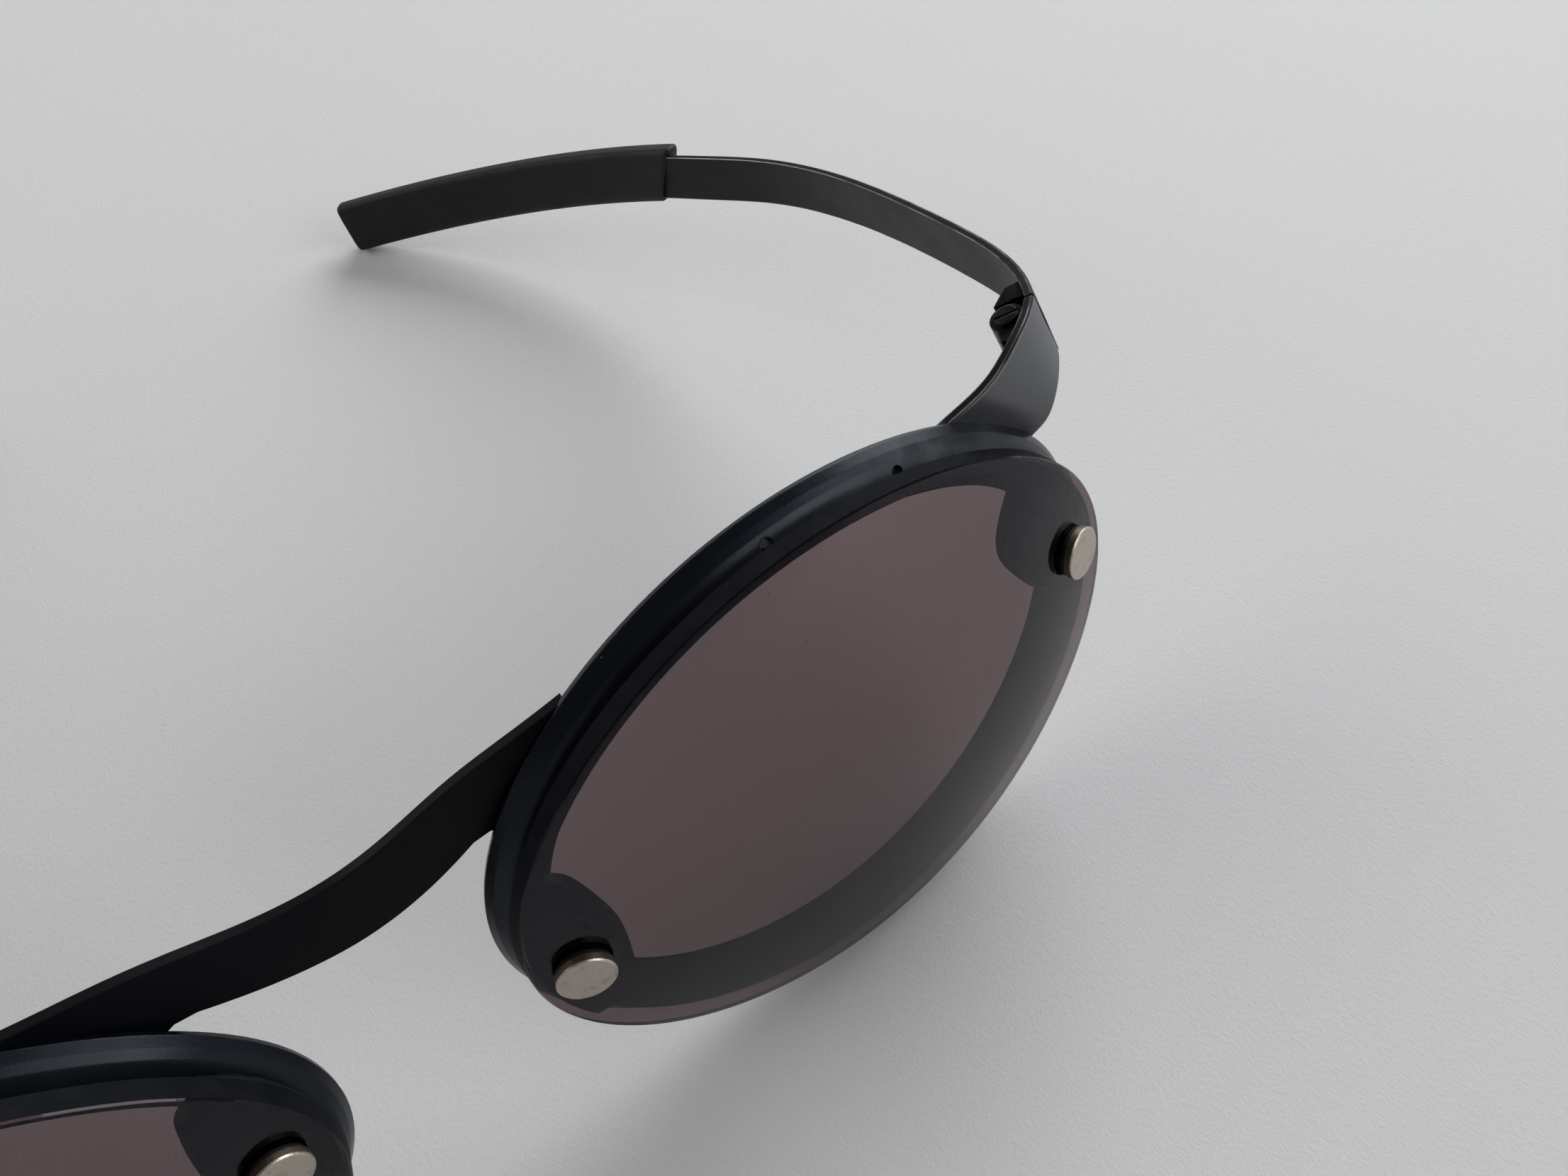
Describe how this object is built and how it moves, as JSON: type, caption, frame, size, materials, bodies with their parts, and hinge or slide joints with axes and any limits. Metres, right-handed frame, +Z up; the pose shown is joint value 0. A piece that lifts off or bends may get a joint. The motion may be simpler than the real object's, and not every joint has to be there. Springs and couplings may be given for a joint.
{
  "type": "sunglasses",
  "caption": "Sunglasses with oval tinted lens plates screwed to dark ring rims, a bowed bridge band, wrap-around end pieces and hinged strip temples with soft tips.",
  "frame": {"origin": "centre of the bounding box in x and y, on the surface the sunglasses stand on", "axes": "+X towards the wearer's left, -Y the way the lenses look, +Z up from the surface the rims and temple tips stand on"},
  "size_m": [0.1564, 0.129, 0.0493],
  "materials": {
    "rim_black": "satin black",
    "lens_tint": "brown-grey tint",
    "strip_metal": "matte gunmetal",
    "stud_metal": "fine brushed",
    "collar_black": "matte",
    "hinge_metal": "dark worn",
    "tip_rubber": "soft matte"
  },
  "bodies": {
    "front": {"rim_left": "rim_black", "rim_right": "rim_black", "lens_left": "lens_tint", "lens_right": "lens_tint", "bridge_band": "rim_black", "end_piece_left": "strip_metal", "end_piece_right": "strip_metal", "lens_studs": "stud_metal", "stud_collars": "collar_black", "stud_washers": "stud_metal", "stud_nuts": "stud_metal", "hinge_block_left": "hinge_metal", "hinge_block_right": "hinge_metal", "hinge_screws": "hinge_metal"},
    "temple_left_arm": {"temple_left": "strip_metal", "temple_knuckle_left": "hinge_metal", "temple_tip_left": "tip_rubber"},
    "temple_right_arm": {"temple_right": "strip_metal", "temple_knuckle_right": "hinge_metal", "temple_tip_right": "tip_rubber"}
  },
  "joints": [
    {"name": "temple_left_hinge", "type": "hinge", "parent": "front", "child": "temple_left_arm", "pos_m": [0.07032, -0.03906, 0.0434], "axis": [-0.296, 0.2831, 0.9123], "range_deg": [0, 74]},
    {"name": "temple_right_hinge", "type": "hinge", "parent": "front", "child": "temple_right_arm", "pos_m": [-0.07032, -0.03906, 0.0434], "axis": [-0.296, -0.2831, -0.9123], "range_deg": [0, 64]}
  ]
}
